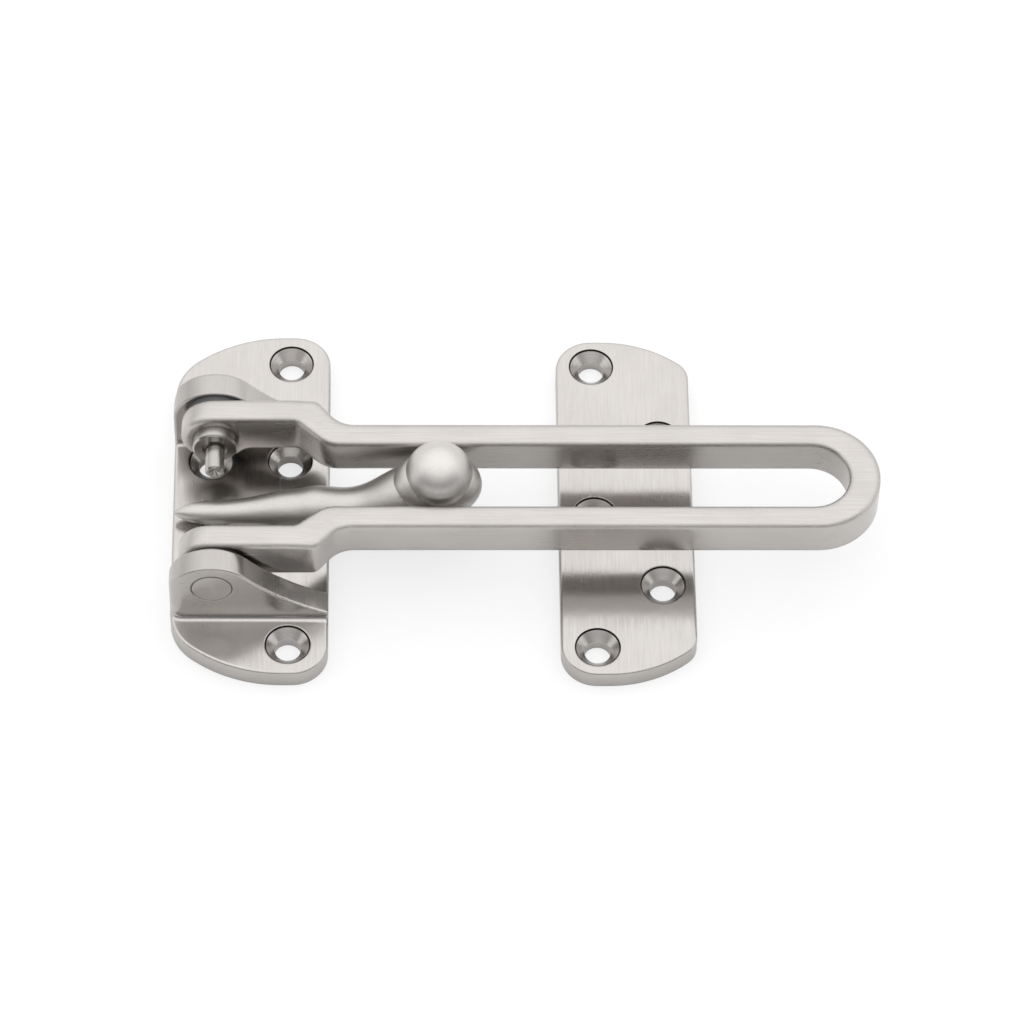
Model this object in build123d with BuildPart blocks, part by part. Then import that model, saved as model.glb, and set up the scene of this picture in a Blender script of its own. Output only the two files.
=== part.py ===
from build123d import *
import os
from math import asin, degrees

# Swing-bar door guard in brushed stainless steel, in millimetres.
# The origin lies on the back face of the plates, straight below the hinge pins
# and midway between the hinge ears. X runs along the bar, Z away from the door.

# Plates
plate_thickness = 4.0
plate_gap = 44.0
plate_corner_radius = 6.8
plate_edge_rounding = 0.5
hinge_plate_length = 79.3
hinge_plate_width = 29.9
hinge_plate_offset = 4.2
hinge_sweep_radius = 27.5
hinge_sweep_reach = 21.0
hinge_sweep_rounding = 10.5
strike_plate_length = 78.5
strike_plate_width = 25.8
strike_plate_offset = 3.6
strike_sweep_radius = 24.0
strike_sweep_reach = 16.7
strike_sweep_rounding = 4.5

# Screw holes, with insets measured from the straight edge of their plate
screw_hole_diameter = 5.0
countersink_diameter = 8.7
countersink_angle = 90
end_hole_spacing = 66.1
hinge_hole_inset = 7.6
hinge_inner_spacing_x = 15.2
hinge_inner_spacing_y = 19.2
strike_hole_inset = 6.9
strike_offset_inset = 19.6
strike_hole_steps = (17.55, 35.65, 51.85)

# Hinge ears
pin_height = 13.7
pin_setback = 8.15
ear_gap = 36.0
ear_thickness = 4.9
ear_head_radius = 8.15
ear_head_rise = 6.4
ear_slope = 50
ear_toe_height = 1.6
ear_corner_radius = 2.6
ear_edge_rounding = 0.4
ear_foot_rounding = 1.0

# Swing bar
far_washer_thickness = 1.1
near_washer_thickness = 0.5
side_play = 0.1
arm_width = 5.0
eye_radius = 6.5
bar_step_down = 0.9
bar_height = 8.6
slot_width = 14.2
bar_width = 24.0
bar_reach = 126.5
bar_end_thickness = 5.9
joggle_inner_start = 15.65
joggle_inner_end = 21.35
joggle_outer_start = 19.55
joggle_outer_end = 23.95
joggle_small_radius = 2.0
joggle_large_radius = 6.0
arm_root_drop = 3.2
arm_root_length = 6.0
arm_root_radius = 3.0
arm_heel_end = 29.0
arm_bend_radius = 30.0
bar_edge_rounding = 0.9

# Hinge pins and washers
pin_body_diameter = 8.6
pin_press_diameter = 7.8
running_clearance = 0.08
far_pin_projection = 2.2
near_pin_projection = 1.0
stub_diameter = 3.6
stub_length = 5.6
stub_recess_diameter = 4.9
stub_recess_depth = 0.5
stub_dimple_diameter = 2.2
pin_chamfer = 0.3
press_chamfer = 0.15
washer_diameter = 11.2

# Ball arm, with its sections given as distances along X, heights of the centre above the
# plate and radii
ball_diameter = 12.9
ball_reach = 42.7
ball_height = 18.7
swell_length = 17.0
swell_width = 12.9
swell_setback = 0.3
swell_drop = 3.05
nose_height = 2.2
nose_stations = ((-7.8, 0.3), (-6.4, 1.2), (-3.3, 2.1), (0.5, 2.45))
rod_stations = ((5.7, 2.5, 2.7), (9.6, 3.0, 3.2), (16.0, 3.65, 3.85), (22.1, 3.9, 4.1))
neck_stations = ((26.3, 4.1, 3.95), (29.8, 5.6, 4.25), (33.3, 7.5, 5.0), (36.5, 9.2, 5.4), (39.5, 10.9, 5.3))

# Sizes that follow from the ones above
hinge_plate_left = -pin_setback
hinge_plate_right = hinge_plate_left + hinge_plate_width
strike_plate_left = hinge_plate_right + plate_gap
strike_plate_right = strike_plate_left + strike_plate_width
ear_inner = ear_gap / 2
ear_outer = ear_inner + ear_thickness
ear_head_height = pin_height + ear_head_rise - ear_head_radius
bar_shift = (near_washer_thickness - far_washer_thickness) / 2
arm_outer = ear_inner - side_play - (near_washer_thickness + far_washer_thickness) / 2
arm_inner = arm_outer - arm_width
arm_top = pin_height + eye_radius
bar_top = arm_top - bar_step_down
bar_bottom = bar_top - bar_height
slot_half = slot_width / 2
bar_half = bar_width / 2
outer_end_centre = bar_reach - bar_half
inner_end_centre = bar_reach - bar_end_thickness - slot_half
bore_radius = pin_body_diameter / 2 + running_clearance


def plate_outline(length, width, sweep_radius, sweep_reach, sweep_rounding, side):
    """Outline with a straight edge on the given side and a swept end on the other."""
    half_length = length / 2
    sweep_angle = degrees(asin(sweep_reach / sweep_radius))
    with BuildSketch() as outline:
        with BuildLine():
            sweep_arc = CenterArc(
                (side * sweep_reach, half_length - sweep_radius), sweep_radius, 90, side * sweep_angle
            )
            Line(sweep_arc @ 1, (0, 0))
            Line(sweep_arc @ 0, (side * width, half_length))
            Line((side * width, half_length), (side * width, 0))
            mirror(about=Plane.XZ)
        make_face()
        for end in (1, -1):
            corner = outline.vertices().sort_by_distance((side * width, end * half_length))[0]
            fillet(corner, plate_corner_radius)
            sweep_corner = outline.vertices().sort_by_distance((0, end * (sweep_arc @ 1).Y))[0]
            fillet(sweep_corner, sweep_rounding)
    return outline.sketch


def screw_holes(places):
    """Countersunk screw holes at the given places in the top of a plate."""
    with Locations(*[(x, y, plate_thickness) for x, y in places]):
        CounterSinkHole(screw_hole_diameter / 2, countersink_diameter / 2, plate_thickness, countersink_angle)


def ear_profile():
    """Side view of one hinge ear, from the plate's left wall to its right wall."""
    head_x = hinge_plate_left + ear_head_radius
    with BuildSketch() as profile:
        with BuildLine():
            wall = Line((hinge_plate_left, 0), (hinge_plate_left, ear_head_height))
            head = CenterArc((head_x, ear_head_height), ear_head_radius, 180, -(90 + ear_slope))
            toe = (hinge_plate_right, plate_thickness + ear_toe_height)
            TangentArc(head @ 1, toe, tangent=head % 1)
            Line(toe, (hinge_plate_right, 0))
            Line((hinge_plate_right, 0), wall @ 0)
        make_face()
    return profile.sketch


def hinge_ear(start):
    """One ear with rounded edges along its top, from the given distance along -Y."""
    with BuildPart() as ear:
        with BuildSketch(Plane.XZ.offset(start)):
            add(ear_profile())
        extrude(amount=ear_thickness)
        curved_edges = ear.edges().filter_by(GeomType.CIRCLE)
        fillet(curved_edges, ear_edge_rounding)
    return ear.part


# Hinge plate: plate and both ears in one casting
with BuildPart() as base_plate:
    with BuildSketch(Plane((hinge_plate_left, hinge_plate_offset, 0))):
        add(
            plate_outline(
                hinge_plate_length,
                hinge_plate_width,
                hinge_sweep_radius,
                hinge_sweep_reach,
                hinge_sweep_rounding,
                1,
            )
        )
    extrude(amount=plate_thickness)
    fillet(base_plate.faces().sort_by(Axis.Z)[-1].outer_wire().edges(), plate_edge_rounding)

with BuildPart() as ears:
    add(hinge_ear(ear_inner))
    add(hinge_ear(-ear_outer))
    with BuildSketch(Plane((hinge_plate_left, 0, 0))) as ear_plan:
        Rectangle(hinge_plate_width, 2 * ear_outer, align=(Align.MIN, Align.CENTER))
        fillet(ear_plan.vertices().group_by(Axis.X)[0], ear_corner_radius)
    extrude(amount=pin_height + ear_head_rise, mode=Mode.INTERSECT)

with BuildPart() as hinge_plate:
    add(base_plate.part)
    add(ears.part)
    for wall_y in (-ear_outer, -ear_inner, ear_inner, ear_outer):
        wall_edges = hinge_plate.edges().filter_by(Axis.X).filter_by_position(Axis.Y, wall_y, wall_y)
        foot_edge = wall_edges.filter_by_position(Axis.Z, plate_thickness, plate_thickness)
        fillet(foot_edge, ear_foot_rounding)
    hole_x = hinge_plate_right - hinge_hole_inset
    with Locations((0, hinge_plate_offset)):
        screw_holes([(hole_x, end_hole_spacing / 2), (hole_x, -end_hole_spacing / 2)])
        screw_holes(
            [
                (hole_x - column * hinge_inner_spacing_x, row * hinge_inner_spacing_y / 2)
                for column in (0, 1)
                for row in (-1, 1)
            ]
        )
    with BuildSketch(Plane.XZ.offset(-ear_outer)):
        with Locations((0, pin_height)):
            Circle(pin_press_diameter / 2)
    extrude(amount=2 * ear_outer, mode=Mode.SUBTRACT)
hinge_plate.part.label = "hinge_plate"


# Strike plate: flat plate for the other side of the door gap
with BuildPart() as strike_plate:
    with BuildSketch(Plane((strike_plate_right, strike_plate_offset, 0))):
        add(
            plate_outline(
                strike_plate_length,
                strike_plate_width,
                strike_sweep_radius,
                strike_sweep_reach,
                strike_sweep_rounding,
                -1,
            )
        )
    extrude(amount=plate_thickness)
    fillet(strike_plate.faces().sort_by(Axis.Z)[-1].outer_wire().edges(), plate_edge_rounding)
    far_hole_y = strike_plate_offset + end_hole_spacing / 2
    first_column = strike_plate_left + strike_hole_inset
    second_column = strike_plate_left + strike_offset_inset
    strike_places = [
        (first_column, far_hole_y),
        (second_column, far_hole_y - strike_hole_steps[0]),
        (first_column, far_hole_y - strike_hole_steps[1]),
        (second_column, far_hole_y - strike_hole_steps[2]),
        (first_column, far_hole_y - end_hole_spacing),
    ]
    screw_holes(strike_places)
strike_plate.part.label = "strike_plate"


def bar_loop(arm_y, start, end, half_width, end_centre):
    """Plan of a loop that narrows at its joggle and ends in a half circle."""
    left = -2 * eye_radius
    with BuildSketch() as loop:
        with BuildLine():
            FilletPolyline(
                (left, 0),
                (left, arm_y),
                (start, arm_y),
                (end, half_width),
                (end_centre, half_width),
                radius=(0, joggle_small_radius, joggle_large_radius),
            )
            CenterArc((end_centre, 0), half_width, 0, 90)
            Line((end_centre + half_width, 0), (left, 0))
        make_face()
        mirror(about=Plane.XZ)
    return loop.sketch


# Swing bar: the plan of the long loop, cut to the side view with its two eyes
with BuildPart() as swing_bar:
    with BuildSketch(Plane((0, bar_shift, 0))):
        add(bar_loop(arm_outer, joggle_outer_start, joggle_outer_end, bar_half, outer_end_centre))
        add(
            bar_loop(arm_inner, joggle_inner_start, joggle_inner_end, slot_half, inner_end_centre),
            mode=Mode.SUBTRACT,
        )
    extrude(amount=arm_top)
    with BuildSketch(Plane.XZ.offset(-ear_inner)) as side_view:
        with Locations((0, pin_height)):
            Circle(eye_radius)
        with BuildLine():
            Polyline(
                (0, arm_top),
                (joggle_inner_start, arm_top),
                (joggle_outer_end, bar_top),
                (bar_reach, bar_top),
                (bar_reach, bar_bottom),
                (arm_heel_end, bar_bottom),
                (0, pin_height - arm_root_drop),
                (0, arm_top),
            )
        make_face()
        root = side_view.vertices().sort_by_distance((arm_root_length, pin_height - arm_root_drop))[0]
        fillet(root, arm_root_radius)
        for bend in (
            (joggle_inner_start, arm_top),
            (joggle_outer_end, bar_top),
            (arm_heel_end, bar_bottom),
        ):
            fillet(side_view.vertices().sort_by_distance(bend)[0], arm_bend_radius)
    extrude(amount=ear_gap, mode=Mode.INTERSECT)
    long_edges = swing_bar.edges().filter_by(Axis.Z, reverse=True).filter_by(Axis.Y, reverse=True)
    fillet(long_edges, bar_edge_rounding)
    with BuildSketch(Plane.XZ.offset(-ear_inner)):
        with Locations((0, pin_height)):
            Circle(bore_radius)
    extrude(amount=ear_gap, mode=Mode.SUBTRACT)
swing_bar.part.label = "swing_bar"


def hinge_pin(side, projection, stub):
    """Pin pressed into one ear, with an end profile that reaches past the arm."""
    body_radius = pin_body_diameter / 2
    press_radius = pin_press_diameter / 2
    inner_end = arm_inner + side * bar_shift - projection
    stub_end = inner_end - stub_length
    stub_radius = stub_diameter / 2
    recess_radius = stub_recess_diameter / 2
    dimple_radius = stub_dimple_diameter / 2
    end_profile = [(0, inner_end)]
    if stub:
        end_profile = [
            (0, stub_end + dimple_radius),
            (dimple_radius, stub_end),
            (stub_radius - pin_chamfer, stub_end),
            (stub_radius, stub_end + pin_chamfer),
            (stub_radius, inner_end + stub_recess_depth),
            (recess_radius, inner_end + stub_recess_depth),
            (recess_radius, inner_end),
        ]
    body_profile = [
        (body_radius - pin_chamfer, inner_end),
        (body_radius, inner_end + pin_chamfer),
        (body_radius, ear_inner),
        (press_radius, ear_inner),
        (press_radius, ear_outer - press_chamfer),
        (press_radius - press_chamfer, ear_outer),
        (0, ear_outer),
    ]
    with BuildPart() as pin:
        with BuildSketch(Plane.XY.offset(pin_height)):
            with BuildLine():
                Polyline(*[(radius, side * y) for radius, y in end_profile + body_profile], close=True)
            make_face()
        revolve(axis=Axis((0, 0, pin_height), (0, 1, 0)))
    return pin.part


def thrust_washer(side, thickness):
    """Washer that fills the gap between an ear and its arm."""
    with BuildPart() as washer:
        with BuildSketch(Plane.XZ.offset(-side * ear_inner)):
            with Locations((0, pin_height)):
                Circle(washer_diameter / 2)
                Circle(bore_radius, mode=Mode.SUBTRACT)
        extrude(amount=side * thickness)
    return washer.part


pivot_pin_far = hinge_pin(1, far_pin_projection, True)
pivot_pin_far.label = "pivot_pin_far"
pivot_pin_near = hinge_pin(-1, near_pin_projection, False)
pivot_pin_near.label = "pivot_pin_near"
thrust_washer_far = thrust_washer(1, far_washer_thickness)
thrust_washer_far.label = "thrust_washer_far"
thrust_washer_near = thrust_washer(-1, near_washer_thickness)
thrust_washer_near.label = "thrust_washer_near"


# Ball arm: round horn seated on the hinge plate, rising to the swell that carries the ball
arm_sections = [(x, nose_height, radius) for x, radius in nose_stations]
arm_sections += [*rod_stations, *neck_stations]
with BuildPart() as ball_arm:
    for x, height, radius in arm_sections:
        with BuildSketch(Plane.YZ.offset(x)):
            with Locations((0, plate_thickness + height)):
                Circle(radius)
    loft()
    split(bisect_by=Plane.XY.offset(plate_thickness), keep=Keep.TOP)
    swell_centre = (ball_reach - swell_setback, 0, ball_height - swell_drop)
    with BuildSketch(Plane(swell_centre, x_dir=(1, 0, 0), z_dir=(0, -1, 0))):
        Ellipse(swell_length / 2, swell_width / 2)
        Rectangle(swell_length, swell_width, align=(Align.CENTER, Align.MAX), mode=Mode.SUBTRACT)
    revolve(axis=Axis(swell_centre, (1, 0, 0)))
    with Locations((ball_reach, 0, ball_height)):
        Sphere(ball_diameter / 2)
ball_arm.part.label = "ball_arm"


pieces = (
    hinge_plate.part,
    ball_arm.part,
    swing_bar.part,
    pivot_pin_far,
    pivot_pin_near,
    thrust_washer_far,
    thrust_washer_near,
    strike_plate.part,
)
os.makedirs("parts", exist_ok=True)
for piece in pieces:
    export_step(piece, f"parts/{piece.label}.step")
    print(piece.label, len(piece.solids()), round(piece.volume, 1))
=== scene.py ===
"""Finishes, studio and camera for the swing-bar door guard in brushed stainless steel."""

import logging
import math
from dataclasses import dataclass
from enum import Enum

import bpy
from mathutils import Matrix, Quaternion, Vector


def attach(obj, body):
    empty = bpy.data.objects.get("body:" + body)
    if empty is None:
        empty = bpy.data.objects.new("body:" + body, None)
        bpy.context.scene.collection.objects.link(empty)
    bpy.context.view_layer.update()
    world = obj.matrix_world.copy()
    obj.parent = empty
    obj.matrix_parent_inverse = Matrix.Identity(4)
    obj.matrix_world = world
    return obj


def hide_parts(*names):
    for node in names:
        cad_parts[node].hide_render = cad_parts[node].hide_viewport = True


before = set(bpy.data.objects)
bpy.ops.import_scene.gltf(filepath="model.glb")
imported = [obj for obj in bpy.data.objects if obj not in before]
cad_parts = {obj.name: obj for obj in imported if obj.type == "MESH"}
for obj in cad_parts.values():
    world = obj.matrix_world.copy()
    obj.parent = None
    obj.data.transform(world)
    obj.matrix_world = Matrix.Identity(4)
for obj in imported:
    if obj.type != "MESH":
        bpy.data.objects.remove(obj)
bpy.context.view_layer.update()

LOG = logging.getLogger("door_guard")
MM = 0.001
PIN_HEIGHT = 13.7 * MM
WELD_DISTANCE = 0.002 * MM
SMOOTH_ANGLE = math.radians(32)
NOISE_SPAN = (0.3, 0.7)
FACING_SPAN = (0.6, 0.8)
EDGE_SPAN = (0.4, 0.5)
LINE_SHARE = 0.6
# Painted shade on the hinge plate's ears: the heights over which it fades in and its strength.
# Faces sloping toward +X over SLOPE_SPAN are left out.
EAR_HEIGHTS = (5.5 * MM, 9.0 * MM)
EAR_PAINTED_SHADE = 0.28
SLOPE_SPAN = (0.2, 0.5)
# Heights at the top of a countersink that take a painted dark ring of shade.
HOLE_LIP_HEIGHTS = (3.68 * MM, 3.74 * MM)
# Where the painted shadow of the gap round each pin end lies: outward distance of the pin ends and
# radii of the ring.
PIN_END_SPAN = (22.72 * MM, 22.76 * MM)
PIN_RING_RADII = (3.70 * MM, 3.74 * MM)
# Painted shade on the horn: full at its end below the first X, gone past the second. The second
# value is its strength.
HORN_SPAN = (28.0 * MM, 36.0 * MM)
HORN_PAINTED_SHADE = 0.20
NYLON_CLOUD_SIZE = 1.5 * MM

Colour = tuple[float, float, float]


class Grain(Enum):
    """How the polishing lines run over a piece."""

    PLATE = "along the plate's length, and across it on the walls of the ears"
    BAR = "along the swing bar"
    TURNED = "round the hinge pins"
    BORED = "round a screw hole"
    SATIN = "no direction"


class NodeBoard:
    """A node tree with short calls for adding and joining nodes."""

    def __init__(self, tree: bpy.types.NodeTree) -> None:
        """Wraps a tree.

        Args:
            tree: the node tree of a material, a group or the world.
        """
        self.tree = tree

    def add(self, kind: str, **settings: object) -> bpy.types.Node:
        """Adds a node and sets its properties.

        Args:
            kind: the node's type name.
            settings: properties of the node by name.

        Returns:
            The new node.
        """
        node = self.tree.nodes.new(kind)
        for name, value in settings.items():
            setattr(node, name, value)
        return node

    def join(self, source: object, target: bpy.types.NodeSocket) -> None:
        """Links an output to a socket, or writes a plain value there.

        Args:
            source: an output socket or a value.
            target: the input socket.
        """
        if isinstance(source, bpy.types.NodeSocket):
            self.tree.links.new(source, target)
        else:
            target.default_value = source

    def math(self, operation: str, *values: object) -> bpy.types.NodeSocket:
        """Adds a Math node.

        Args:
            operation: the operation's name.
            values: sockets or numbers for the node's inputs.

        Returns:
            The node's output.
        """
        node = self.add("ShaderNodeMath", operation=operation)
        for value, socket in zip(values, node.inputs):
            self.join(value, socket)
        return node.outputs[0]

    def vector(self, operation: str, *values: object) -> bpy.types.NodeSocket:
        """Adds a Vector Math node.

        Args:
            operation: the operation's name.
            values: sockets or vectors for the node's inputs.

        Returns:
            The node's vector output, or its number for a length or dot product.
        """
        node = self.add("ShaderNodeVectorMath", operation=operation)
        for value, socket in zip(values, node.inputs):
            self.join(value, socket)
        is_number = operation in ("LENGTH", "DOT_PRODUCT", "DISTANCE")
        return node.outputs["Value" if is_number else "Vector"]

    def mix_vectors(self, share: object, first: object, second: object) -> bpy.types.NodeSocket:
        """Adds a Mix node for vectors.

        Args:
            share: how much of the second vector shows.
            first: socket or vector.
            second: socket or vector.

        Returns:
            The mixed vector.
        """
        node = self.add("ShaderNodeMix", data_type="VECTOR")
        self.join(share, node.inputs[0])
        self.join(first, node.inputs[4])
        self.join(second, node.inputs[5])
        return node.outputs[1]

    def mix_colours(self, share: object, first: object, second: object) -> bpy.types.NodeSocket:
        """Adds a Mix node for colours.

        Args:
            share: how much of the second colour shows.
            first: socket or colour with alpha.
            second: socket or colour with alpha.

        Returns:
            The mixed colour.
        """
        node = self.add("ShaderNodeMix", data_type="RGBA")
        self.join(share, node.inputs[0])
        self.join(first, node.inputs[6])
        self.join(second, node.inputs[7])
        return node.outputs[2]

    def remap(self, value: object, source: tuple[float, float], target: tuple[float, float],
              smooth: bool = False) -> bpy.types.NodeSocket:
        """Adds a Map Range node.

        Args:
            value: the socket to remap.
            source: lowest and highest value read.
            target: the values that they become.
            smooth: whether the change eases in and out.

        Returns:
            The remapped value.
        """
        kind = "SMOOTHSTEP" if smooth else "LINEAR"
        node = self.add("ShaderNodeMapRange", interpolation_type=kind, clamp=True)
        for number, socket in zip((value, *source, *target), node.inputs):
            self.join(number, socket)
        return node.outputs[0]


class GrainGroup:
    """Shader node group for polishing lines and soft clouding, shared by all the steels."""

    NAME = "polished_grain"

    @classmethod
    def tree(cls) -> bpy.types.NodeTree:
        """Builds the group on the first call.

        Returns:
            The group's node tree, with the outputs Lines and Clouds from 0 to 1.
        """
        if cls.NAME in bpy.data.node_groups:
            return bpy.data.node_groups[cls.NAME]
        tree = bpy.data.node_groups.new(cls.NAME, "ShaderNodeTree")
        tree.interface.new_socket("Line position", in_out="INPUT", socket_type="NodeSocketVector")
        tree.interface.new_socket("Position", in_out="INPUT", socket_type="NodeSocketVector")
        tree.interface.new_socket("Cloud scale", in_out="INPUT", socket_type="NodeSocketFloat")
        tree.interface.new_socket("Lines", in_out="OUTPUT", socket_type="NodeSocketFloat")
        tree.interface.new_socket("Clouds", in_out="OUTPUT", socket_type="NodeSocketFloat")
        board = NodeBoard(tree)
        source = board.add("NodeGroupInput")
        result = board.add("NodeGroupOutput")
        lines = board.add("ShaderNodeTexNoise", noise_dimensions="3D")
        lines.inputs["Scale"].default_value = 1.0
        lines.inputs["Detail"].default_value = 3.0
        lines.inputs["Roughness"].default_value = 0.62
        board.join(source.outputs["Line position"], lines.inputs["Vector"])
        board.join(board.remap(lines.outputs["Fac"], NOISE_SPAN, (0.0, 1.0)),
                   result.inputs["Lines"])
        clouds = board.add("ShaderNodeTexNoise", noise_dimensions="3D")
        clouds.inputs["Detail"].default_value = 2.0
        board.join(source.outputs["Position"], clouds.inputs["Vector"])
        board.join(source.outputs["Cloud scale"], clouds.inputs["Scale"])
        board.join(board.remap(clouds.outputs["Fac"], NOISE_SPAN, (0.0, 1.0)),
                   result.inputs["Clouds"])
        return tree


@dataclass(frozen=True)
class SteelFinish:
    """Brushed or turned stainless steel.

    Attributes:
        name: the material's name.
        grain: how the polishing lines run.
        light: colour on the bright lines.
        dark: colour between them.
        painted_shade: colour of the painted shade on the ears, the horn's end, the lip of a screw
            hole and the rim of a pin end.
        roughness: middle roughness.
        roughness_swing: how far lines and clouds move it.
        anisotropy: how much wider a highlight is across the lines.
        line_pitch: distance between the lines in metres.
        line_length: length of a line in metres.
        line_depth: depth of the lines in metres.
        cloud_size: size of the clouding in metres.
        wave_depth: depth of the slow waves left by hand polishing, in metres.
        soft_edge: how far the hand-rubbed edges run into the faces, in metres.
    """

    name: str
    grain: Grain
    light: Colour = (0.50, 0.478, 0.46)
    dark: Colour = (0.44, 0.42, 0.402)
    # Colour of the painted shade.
    painted_shade: Colour = (0.24, 0.228, 0.218)
    roughness: float = 0.24
    roughness_swing: float = 0.06
    anisotropy: float = 0.55
    line_pitch: float = 0.30 * MM
    line_length: float = 7.0 * MM
    line_depth: float = 0.0008 * MM
    cloud_size: float = 9.0 * MM
    wave_depth: float = 0.02 * MM
    soft_edge: float = 0.0

    def material(self) -> bpy.types.Material:
        """Builds the finish on the first call.

        Returns:
            The material.
        """
        if self.name in bpy.data.materials:
            return bpy.data.materials[self.name]
        material = bpy.data.materials.new(self.name)
        material.use_nodes = True
        board = NodeBoard(material.node_tree)
        shader = material.node_tree.nodes["Principled BSDF"]
        place = board.add("ShaderNodeTexCoord")
        position = place.outputs["Object"]
        normal = place.outputs["Normal"]
        grain = board.add("ShaderNodeGroup", node_tree=GrainGroup.tree())
        board.join(self.line_position(board, position, normal), grain.inputs["Line position"])
        board.join(position, grain.inputs["Position"])
        board.join(1.0 / self.cloud_size, grain.inputs["Cloud scale"])
        lines = grain.outputs["Lines"]
        clouds = grain.outputs["Clouds"]
        tone = board.math("MULTIPLY_ADD", lines, LINE_SHARE,
                          board.math("MULTIPLY", clouds, 1.0 - LINE_SHARE))
        colour = board.mix_colours(tone, (*self.dark, 1.0), (*self.light, 1.0))
        # Painted shade: the grain colour is mixed toward the shade colour wherever the mask below
        # is set.
        painted_shade_mask = self.painted_shade_places(board, position, normal)
        painted_shade = board.mix_colours(painted_shade_mask, colour, (*self.painted_shade, 1.0))
        board.join(painted_shade, shader.inputs["Base Color"])
        ends = (self.roughness + self.roughness_swing, self.roughness - self.roughness_swing)
        board.join(board.remap(tone, (0.0, 1.0), ends), shader.inputs["Roughness"])
        relief = board.add("ShaderNodeBump")
        relief.inputs["Strength"].default_value = 1.0
        relief.inputs["Distance"].default_value = 1.0
        slow = board.math("MULTIPLY", clouds, self.wave_depth)
        depth = self.line_relief(board, normal)
        board.join(board.math("MULTIPLY_ADD", lines, depth, slow), relief.inputs["Height"])
        if self.soft_edge:
            rubbed = board.add("ShaderNodeBevel", samples=6)
            rubbed.inputs["Radius"].default_value = self.soft_edge
            board.join(rubbed.outputs["Normal"], relief.inputs["Normal"])
        board.join(relief.outputs["Normal"], shader.inputs["Normal"])
        board.join(self.across(board, position, normal), shader.inputs["Tangent"])
        shader.inputs["Metallic"].default_value = 1.0
        shader.inputs["Anisotropic"].default_value = self.anisotropy
        return material

    def line_position(self, board: NodeBoard, position: bpy.types.NodeSocket,
                      normal: bpy.types.NodeSocket) -> bpy.types.NodeSocket:
        """Stretches the position so that noise on it draws this finish's lines.

        Args:
            board: the material's nodes.
            position: place on the piece.
            normal: direction of the surface.

        Returns:
            The stretched position.
        """
        fine = 1.0 / self.line_pitch
        long = 1.0 / self.line_length
        along_x = board.vector("MULTIPLY", position, (long, fine, fine))
        if self.grain is Grain.BAR:
            return along_x
        if self.grain is Grain.PLATE:
            along_y = board.vector("MULTIPLY", position, (fine, long, fine))
            return board.mix_vectors(self.faces_along_y(board, normal), along_y, along_x)
        if self.grain is Grain.SATIN:
            return board.vector("MULTIPLY", position, (fine, fine, fine))
        if self.grain is Grain.BORED:
            return board.vector("MULTIPLY", position, (long, long, fine))
        radius = self.pin_radius(board, position)
        height = board.vector("DOT_PRODUCT", position, (0.0, 1.0, 0.0))
        ring = board.add("ShaderNodeCombineXYZ")
        board.join(board.math("MULTIPLY", board.math("ADD", radius, height), fine), ring.inputs[0])
        return ring.outputs[0]

    def line_relief(self, board: NodeBoard, normal: bpy.types.NodeSocket) -> object:
        """Depth of the lines, which fade out on an edge between two walls whose lines cross.

        Args:
            board: the material's nodes.
            normal: direction of the surface.

        Returns:
            The depth in metres, a socket or a number.
        """
        if self.grain is not Grain.PLATE:
            return self.line_depth
        turned = board.math("SUBTRACT", self.faces_along_y(board, normal), 0.5)
        return board.remap(board.math("ABSOLUTE", turned), EDGE_SPAN, (0.0, self.line_depth))

    def painted_shade_places(self, board: NodeBoard, position: bpy.types.NodeSocket,
                    normal: bpy.types.NodeSocket) -> object:
        """Mask of the painted shade: ears, horn, the lip of a screw hole and the rim of a pin.

        Args:
            board: the material's nodes.
            position: place on the piece.
            normal: direction of the surface.

        Returns:
            The mask from 0 to 1, a socket, or 0 where no shade is painted.
        """
        height = board.vector("DOT_PRODUCT", position, (0.0, 0.0, 1.0))
        if self.grain is Grain.PLATE:
            # Painted shade on the ears above the plate, left off the faces that slope toward +X.
            sloped = board.vector("DOT_PRODUCT", normal, (1.0, 0.0, 0.0))
            ears = board.remap(height, EAR_HEIGHTS, (0.0, EAR_PAINTED_SHADE), smooth=True)
            return board.math("MULTIPLY", board.remap(sloped, SLOPE_SPAN, (1.0, 0.0)), ears)
        if self.grain is Grain.BORED:
            # Painted shade: a near-black ring at the top of each countersink.
            return board.remap(height, HOLE_LIP_HEIGHTS, (0.0, 1.0))
        if self.grain is Grain.TURNED:
            # Painted shadow: a near-black ring where the gap meets each pin end.
            outward = board.vector("DOT_PRODUCT", position, (0.0, 1.0, 0.0))
            end = board.remap(board.math("ABSOLUTE", outward), PIN_END_SPAN, (0.0, 1.0))
            rim = board.remap(self.pin_radius(board, position), PIN_RING_RADII, (0.0, 1.0))
            return board.math("MULTIPLY", end, rim)
        if self.grain is Grain.SATIN:
            # Painted shade toward the horn's end.
            along = board.vector("DOT_PRODUCT", position, (1.0, 0.0, 0.0))
            return board.remap(along, HORN_SPAN, (HORN_PAINTED_SHADE, 0.0), smooth=True)
        return 0.0

    def pin_radius(self, board: NodeBoard, position: bpy.types.NodeSocket) -> bpy.types.NodeSocket:
        """Distance from the hinge pins' axis.

        Args:
            board: the material's nodes.
            position: place on the piece.

        Returns:
            The distance in metres.
        """
        from_axis = board.vector("SUBTRACT", position, (0.0, 0.0, PIN_HEIGHT))
        return board.vector("LENGTH", board.vector("MULTIPLY", from_axis, (1.0, 0.0, 1.0)))

    def faces_along_y(self, board: NodeBoard, normal: bpy.types.NodeSocket) -> bpy.types.NodeSocket:
        """Mask of the walls that face along Y.

        Args:
            board: the material's nodes.
            normal: direction of the surface.

        Returns:
            The mask, from 0 to 1.
        """
        facing = board.math("ABSOLUTE", board.vector("DOT_PRODUCT", normal, (0.0, 1.0, 0.0)))
        return board.remap(facing, FACING_SPAN, (0.0, 1.0))

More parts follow.
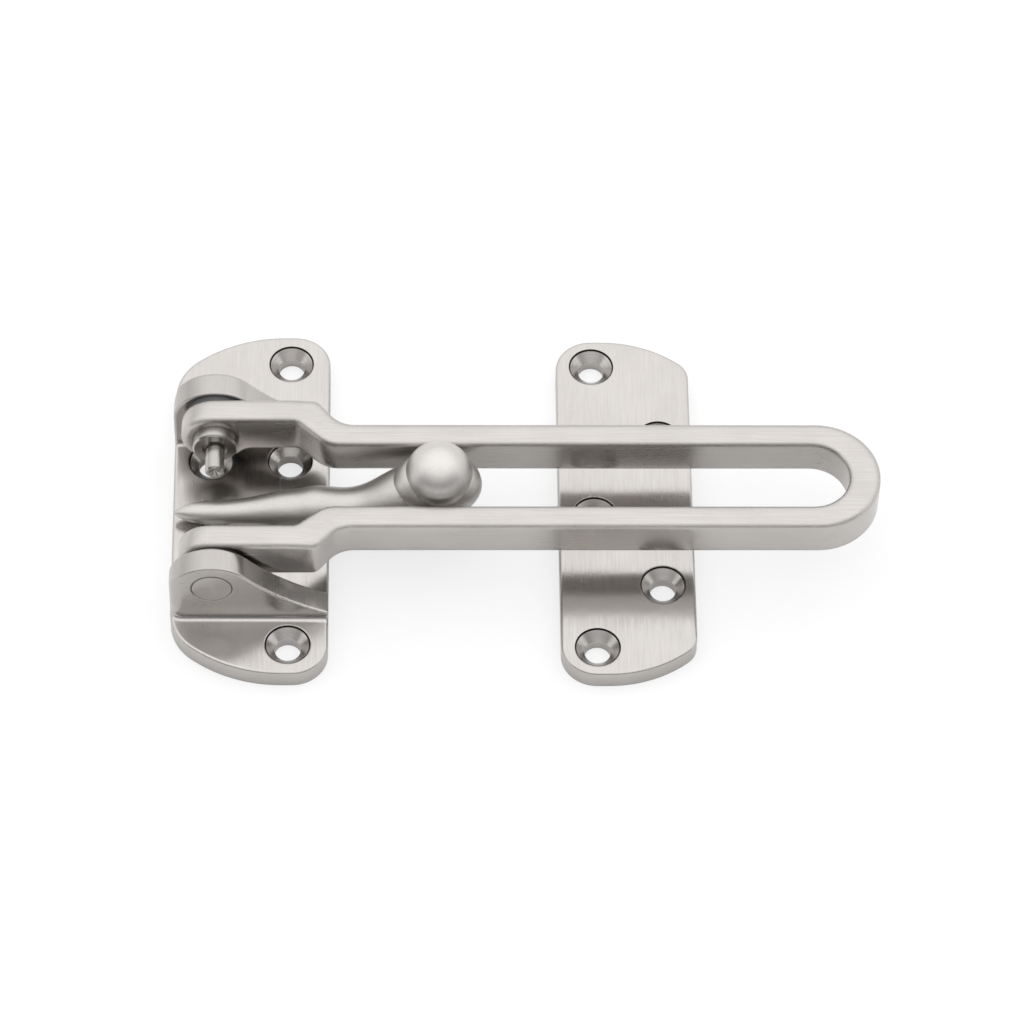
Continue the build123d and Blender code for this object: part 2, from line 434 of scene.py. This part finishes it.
    def across(self, board: NodeBoard, position: bpy.types.NodeSocket,
               normal: bpy.types.NodeSocket) -> bpy.types.NodeSocket:
        """Direction across the polishing lines, along which a highlight spreads.

        Args:
            board: the material's nodes.
            position: place on the piece.
            normal: direction of the surface.

        Returns:
            The direction, turned with the piece.
        """
        round_z = board.vector("CROSS_PRODUCT", (0.0, 0.0, 1.0), normal)
        if self.grain is Grain.PLATE:
            line = board.mix_vectors(self.faces_along_y(board, normal), (0.0, 1.0, 0.0),
                                     (1.0, 0.0, 0.0))
        elif self.grain is Grain.TURNED:
            line = board.vector("CROSS_PRODUCT", (0.0, 1.0, 0.0),
                                board.vector("SUBTRACT", position, (0.0, 0.0, PIN_HEIGHT)))
        elif self.grain is Grain.BORED:
            line = round_z
        else:
            upward = board.math("ABSOLUTE", board.vector("DOT_PRODUCT", normal, (0.0, 0.0, 1.0)))
            line = board.mix_vectors(board.remap(upward, FACING_SPAN, (0.0, 1.0)), round_z,
                                     (1.0, 0.0, 0.0))
        turn = board.add("ShaderNodeVectorTransform", vector_type="VECTOR",
                         convert_from="OBJECT", convert_to="WORLD")
        board.join(board.vector("CROSS_PRODUCT", normal, line), turn.inputs[0])
        return turn.outputs[0]


@dataclass(frozen=True)
class NylonFinish:
    """Moulded nylon, matt with a faint cloud.

    Attributes:
        name: the material's name.
        colour: the nylon's darkest colour.
        lighter: how much brighter its light places are.
        roughness: middle roughness.
        roughness_swing: how far the clouds move it.
    """

    name: str
    colour: Colour = (0.06, 0.06, 0.062)
    lighter: float = 1.4
    roughness: float = 0.55
    roughness_swing: float = 0.08

    def material(self) -> bpy.types.Material:
        """Builds the finish on the first call.

        Returns:
            The material.
        """
        if self.name in bpy.data.materials:
            return bpy.data.materials[self.name]
        material = bpy.data.materials.new(self.name)
        material.use_nodes = True
        board = NodeBoard(material.node_tree)
        shader = material.node_tree.nodes["Principled BSDF"]
        place = board.add("ShaderNodeTexCoord")
        clouds = board.add("ShaderNodeTexNoise")
        clouds.inputs["Scale"].default_value = 1.0 / NYLON_CLOUD_SIZE
        board.join(place.outputs["Object"], clouds.inputs["Vector"])
        light = tuple(self.lighter * part for part in self.colour)
        colour = board.mix_colours(clouds.outputs["Fac"], (*self.colour, 1.0), (*light, 1.0))
        board.join(colour, shader.inputs["Base Color"])
        ends = (self.roughness - self.roughness_swing, self.roughness + self.roughness_swing)
        board.join(board.remap(clouds.outputs["Fac"], NOISE_SPAN, ends), shader.inputs["Roughness"])
        return material


PLATE_STEEL = SteelFinish("brushed_plate_steel", Grain.PLATE, soft_edge=0.5 * MM)
# The holes' shade colour is near black. It paints a dark ring of shade at the lip of each
# countersink.
HOLE_STEEL = SteelFinish("bored_hole_steel", Grain.BORED, light=(0.56, 0.535, 0.515),
                         dark=(0.40, 0.382, 0.366), painted_shade=(0.02, 0.019, 0.018), roughness=0.22,
                         line_pitch=0.14 * MM, line_length=60 * MM, line_depth=0.003 * MM)
BAR_STEEL = SteelFinish("brushed_bar_steel", Grain.BAR, roughness=0.24, anisotropy=0.4,
                        line_length=12 * MM, line_depth=0.0008 * MM, soft_edge=1.6 * MM)
BALL_STEEL = SteelFinish("satin_ball_steel", Grain.SATIN, light=(0.62, 0.60, 0.58),
                         dark=(0.56, 0.54, 0.522), roughness=0.42, roughness_swing=0.03,
                         anisotropy=0.0, line_pitch=0.6 * MM, line_depth=0.0003 * MM,
                         wave_depth=0.015 * MM)
# The pins' shade colour is near black. It paints the shadow of the gap round each pin end.
PIN_STEEL = SteelFinish("turned_pin_steel", Grain.TURNED, light=(0.46, 0.44, 0.42),
                        dark=(0.38, 0.365, 0.35), painted_shade=(0.02, 0.019, 0.018), roughness=0.22,
                        line_pitch=0.12 * MM)
WASHER_NYLON = NylonFinish("dark_washer_nylon")


@dataclass
class DressedNode:
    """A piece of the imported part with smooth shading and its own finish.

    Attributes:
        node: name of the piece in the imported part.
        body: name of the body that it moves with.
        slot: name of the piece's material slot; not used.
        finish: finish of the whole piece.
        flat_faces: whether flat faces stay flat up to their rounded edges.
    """

    node: str
    body: str
    slot: str
    finish: SteelFinish | NylonFinish
    flat_faces: bool = True

    def build(self) -> bpy.types.Object:
        """Copies the piece's form, smooths it and dresses it.

        Returns:
            The finished object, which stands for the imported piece.
        """
        shown = self.welded_copy()
        self.shade(shown)
        shown.data.materials.clear()
        shown.data.materials.append(self.finish.material())
        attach(shown, self.body)
        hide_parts(self.node)
        LOG.info("%s: %d faces", shown.name, len(shown.data.polygons))
        return shown

    def welded_copy(self) -> bpy.types.Object:
        """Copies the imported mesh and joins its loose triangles.

        Returns:
            The copy, at the origin and alone in the selection.
        """
        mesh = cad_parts[self.node].data.copy()
        copy = bpy.data.objects.new(f"{self.node}_finished", mesh)
        bpy.context.scene.collection.objects.link(copy)
        bpy.ops.object.select_all(action="DESELECT")
        copy.select_set(True)
        bpy.context.view_layer.objects.active = copy
        bpy.ops.mesh.customdata_custom_splitnormals_clear()
        bpy.ops.object.mode_set(mode="EDIT")
        bpy.ops.mesh.select_all(action="SELECT")
        bpy.ops.mesh.remove_doubles(threshold=WELD_DISTANCE)
        bpy.ops.object.mode_set(mode="OBJECT")
        return copy

    def shade(self, shown: bpy.types.Object) -> None:
        """Smooths the curved faces and keeps the flat ones flat.

        Args:
            shown: the welded copy, alone in the selection.
        """
        bpy.ops.object.shade_smooth_by_angle(angle=SMOOTH_ANGLE)
        if not self.flat_faces:
            return
        flatter = shown.modifiers.new("flat faces", "WEIGHTED_NORMAL")
        flatter.keep_sharp = True
        bpy.ops.object.modifier_apply(modifier=flatter.name)


@dataclass
class DrilledPlate(DressedNode):
    """A plate whose countersunk holes show turning marks.

    Attributes:
        holes: centre of each hole in metres.
        countersink_radius: radius within which a face belongs to a countersink.
        thickness: the plate's thickness.
        steep: how far up or down a wall's face may look before it counts as flat.
        face_margin: how far below the plate's face a wall's centre lies at least.
    """

    holes: tuple[tuple[float, float], ...] = ()
    countersink_radius: float = 4.4 * MM
    thickness: float = 4.0 * MM
    steep: float = 0.9
    face_margin: float = 0.01 * MM

    def build(self) -> bpy.types.Object:
        """Dresses the plate, and its holes in their own finish.

        Returns:
            The finished object.
        """
        shown = super().build()
        shown.data.materials.append(HOLE_STEEL.material())
        for face in shown.data.polygons:
            if self.in_hole(face):
                face.material_index = 1
        return shown

    def in_hole(self, face: bpy.types.MeshPolygon) -> bool:
        """Tells whether a face is on the wall of a screw hole.

        Args:
            face: a face of the plate.

        Returns:
            True on the countersinks and the straight walls of the holes.
        """
        at_face = face.center.z >= self.thickness - self.face_margin
        if at_face or abs(face.normal.z) > self.steep:
            return False
        return any(math.dist(face.center.xy, hole) < self.countersink_radius for hole in self.holes)


@dataclass
class HingeSet:
    """Hinge plate with its ears, both pins and both washers."""

    holes: tuple[tuple[float, float], ...] = (
        (14.15 * MM, -28.85 * MM),
        (14.15 * MM, 37.25 * MM),
        (14.15 * MM, -5.4 * MM),
        (14.15 * MM, 13.8 * MM),
        (-1.05 * MM, -5.4 * MM),
        (-1.05 * MM, 13.8 * MM),
    )

    def build(self) -> None:
        """Dresses the pieces of the hinge."""
        DrilledPlate("hinge_plate", "base", "plate_steel", PLATE_STEEL, holes=self.holes).build()
        for side in ("far", "near"):
            DressedNode(f"pivot_pin_{side}", "base", "pin_steel", PIN_STEEL).build()
            DressedNode(f"thrust_washer_{side}", "base", "washer_nylon", WASHER_NYLON).build()


@dataclass
class BallArm:
    """Horn with the ball that the bar's slot catches on."""

    def build(self) -> None:
        """Dresses the arm."""
        DressedNode("ball_arm", "base", "ball_steel", BALL_STEEL).build()


@dataclass
class SwingBar:
    """Slotted bar that swings about the pins."""

    def build(self) -> None:
        """Dresses the bar."""
        DressedNode("swing_bar", "bar", "bar_steel", BAR_STEEL, flat_faces=False).build()


@dataclass
class StrikePlate:
    """Flat plate that the bar crosses."""

    holes: tuple[tuple[float, float], ...] = (
        (72.65 * MM, -29.45 * MM),
        (72.65 * MM, 36.65 * MM),
        (85.35 * MM, 19.1 * MM),
        (72.65 * MM, 1.0 * MM),
        (85.35 * MM, -15.2 * MM),
    )

    def build(self) -> None:
        """Dresses the plate."""
        DrilledPlate("strike_plate", "base", "plate_steel", PLATE_STEEL, holes=self.holes).build()


@dataclass(frozen=True)
class Camera:
    """The photograph's long lens, looking down on the guard.

    Attributes:
        target: the point in the middle of the picture.
        azimuth: turn about the vertical, 0 looks along +Y.
        elevation: angle above the floor.
        roll: turn about the line of sight.
        distance: from the lens to the target.
        lens: focal length in millimetres.
        sensor: width of the sensor in millimetres.
    """

    target: tuple[float, float, float] = (56.71 * MM, -1.06 * MM, 8.0 * MM)
    azimuth: float = math.radians(2.001)
    elevation: float = math.radians(54.497)
    roll: float = math.radians(1.659)
    distance: float = 1.0502
    lens: float = 193.36
    sensor: float = 36.0

    def build(self) -> None:
        """Places the camera and makes it the scene's."""
        level = math.cos(self.elevation)
        sight = Vector((math.sin(self.azimuth) * level, math.cos(self.azimuth) * level,
                        -math.sin(self.elevation)))
        right = Vector((math.cos(self.azimuth), -math.sin(self.azimuth), 0.0))
        aim = Matrix((right, right.cross(sight), -sight)).transposed().to_quaternion()
        data = bpy.data.cameras.new("photo_camera")
        data.lens = self.lens
        data.sensor_width = self.sensor
        data.clip_start = 0.01
        camera = bpy.data.objects.new("photo_camera", data)
        camera.rotation_mode = "QUATERNION"
        camera.rotation_quaternion = aim @ Quaternion((0.0, 0.0, 1.0), self.roll)
        camera.location = Vector(self.target) - sight * self.distance
        bpy.context.scene.collection.objects.link(camera)
        bpy.context.scene.camera = camera


@dataclass(frozen=True)
class Studio:
    """White table in a light tent with an opening towards the camera.

    Attributes:
        floor_radius: half the floor's width.
        floor_colour: the table's own colour.
        shadow_share: how much of the floor's own light and shadow the camera sees.
        roof: strength of the tent overhead.
        wall: strength of the tent near the floor.
        opening: strength of the dark opening at the front.
        rise: heights in the sky between which the wall turns into the roof.
        opening_heights: heights between which the opening fades out upward.
        opening_sides: places along Y between which it fades in toward the front.
    """

    floor_radius: float = 4.0
    floor_colour: Colour = (0.90, 0.90, 0.90)
    shadow_share: float = 0.33
    roof: float = 1.62
    wall: float = 0.98
    opening: float = 0.22
    rise: tuple[float, float] = (0.05, 0.9)
    opening_heights: tuple[float, float] = (0.25, 0.95)
    opening_sides: tuple[float, float] = (-0.10, -0.50)

    def build(self) -> None:
        """Makes the floor and the light."""
        self.build_floor()
        self.build_tent()
        bpy.context.scene.view_settings.view_transform = "Standard"

    def build_floor(self) -> None:
        """Adds the table top, which stays white to the camera apart from soft shadows."""
        bpy.ops.object.select_all(action="DESELECT")
        bpy.ops.mesh.primitive_plane_add(size=2 * self.floor_radius)
        floor = bpy.context.active_object
        floor.name = "table_top"
        material = bpy.data.materials.new("table_white")
        material.use_nodes = True
        board = NodeBoard(material.node_tree)
        material.node_tree.nodes.remove(material.node_tree.nodes["Principled BSDF"])
        card = board.add("ShaderNodeBsdfDiffuse")
        card.inputs["Color"].default_value = (*self.floor_colour, 1.0)
        white = board.add("ShaderNodeEmission")
        path = board.add("ShaderNodeLightPath")
        seen = board.math("MAXIMUM", path.outputs["Is Camera Ray"],
                          path.outputs["Is Transmission Ray"])
        seen = board.math("MULTIPLY", seen, 1.0 - self.shadow_share)
        blend = board.add("ShaderNodeMixShader")
        board.join(seen, blend.inputs[0])
        board.join(card.outputs[0], blend.inputs[1])
        board.join(white.outputs[0], blend.inputs[2])
        output = material.node_tree.nodes["Material Output"]
        board.join(blend.outputs[0], output.inputs["Surface"])
        floor.data.materials.append(material)

    def build_tent(self) -> None:
        """Lights the scene from all round through the world, darker low at the front."""
        world = bpy.data.worlds.new("light_tent")
        world.use_nodes = True
        bpy.context.scene.world = world
        board = NodeBoard(world.node_tree)
        light = world.node_tree.nodes["Background"]
        place = board.add("ShaderNodeTexCoord")
        parts = board.add("ShaderNodeSeparateXYZ")
        board.join(place.outputs["Generated"], parts.inputs[0])
        tent = board.remap(parts.outputs["Z"], self.rise, (self.wall, self.roof), smooth=True)
        low = board.remap(parts.outputs["Z"], self.opening_heights, (1.0, 0.0), smooth=True)
        front = board.remap(parts.outputs["Y"], self.opening_sides, (0.0, 1.0), smooth=True)
        gap = board.math("MULTIPLY", low, front)
        darker = board.math("SUBTRACT", self.opening, tent)
        strength = board.math("MULTIPLY_ADD", gap, darker, tent)
        path = board.add("ShaderNodeLightPath")
        camera_mix = board.add("ShaderNodeMix", data_type="FLOAT")
        board.join(path.outputs["Is Camera Ray"], camera_mix.inputs[0])
        board.join(strength, camera_mix.inputs[2])
        camera_mix.inputs[3].default_value = 1.0
        board.join(camera_mix.outputs[0], light.inputs["Strength"])
        light.inputs["Color"].default_value = (1.0, 1.0, 1.0, 1.0)


def main() -> None:
    """Builds the pieces in order, then the studio and the camera."""
    logging.basicConfig(level=logging.INFO, format="%(message)s")
    for assembly in (HingeSet(), BallArm(), SwingBar(), StrikePlate()):
        assembly.build()
        LOG.info("built %s", type(assembly).__name__)
    Studio().build()
    Camera().build()


if __name__ == "__main__":
    main()
